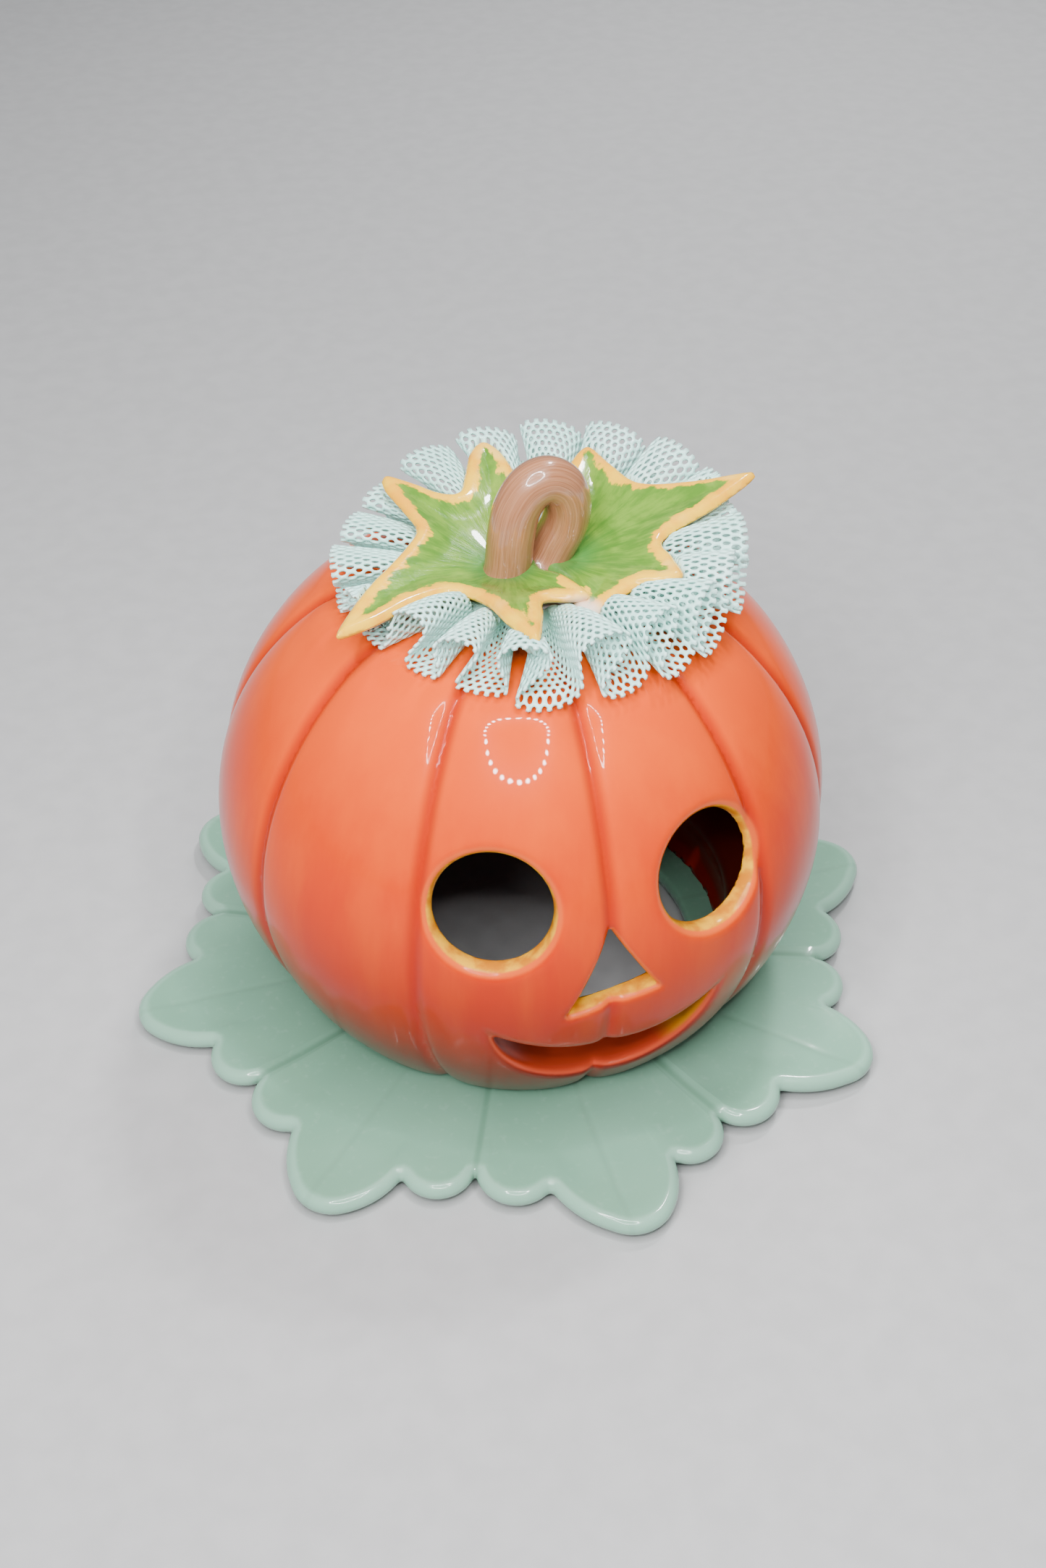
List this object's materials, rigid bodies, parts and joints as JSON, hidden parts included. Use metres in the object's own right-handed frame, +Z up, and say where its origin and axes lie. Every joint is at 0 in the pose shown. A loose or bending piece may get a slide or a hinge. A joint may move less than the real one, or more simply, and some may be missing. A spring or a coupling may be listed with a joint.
{
  "type": "ceramic pumpkin lantern",
  "caption": "Hollow ribbed pumpkin lantern with a cut-out face, painted leaves, coiled stalk and net ruffle, on a ring plate of leaves.",
  "frame": {"origin": "on the table, under the middle of the leaf plate", "axes": "+Z up, the pumpkin's face looks along -Y, +X to the viewer's right"},
  "size_m": [0.2, 0.2, 0.1483],
  "materials": {
    "orange_glaze": "gloss",
    "mint_glaze": "gloss",
    "net_glaze": "satin",
    "leaf_paint": "gloss",
    "stalk_paint": "gloss",
    "joining_clay": "gloss"
  },
  "bodies": {
    "plate": {"leaf_plate": "mint_glaze"},
    "pumpkin": {"pumpkin_shell": "orange_glaze", "crown_pad": "joining_clay", "lace_ruffle": "net_glaze", "left_leaf": "leaf_paint", "right_leaf": "leaf_paint", "stem_loop": "stalk_paint"}
  },
  "joints": [
    {"name": "pumpkin_lift", "type": "slide", "parent": "plate", "child": "pumpkin", "axis": [0, 0, 1], "range_m": [0, 0.08]}
  ]
}
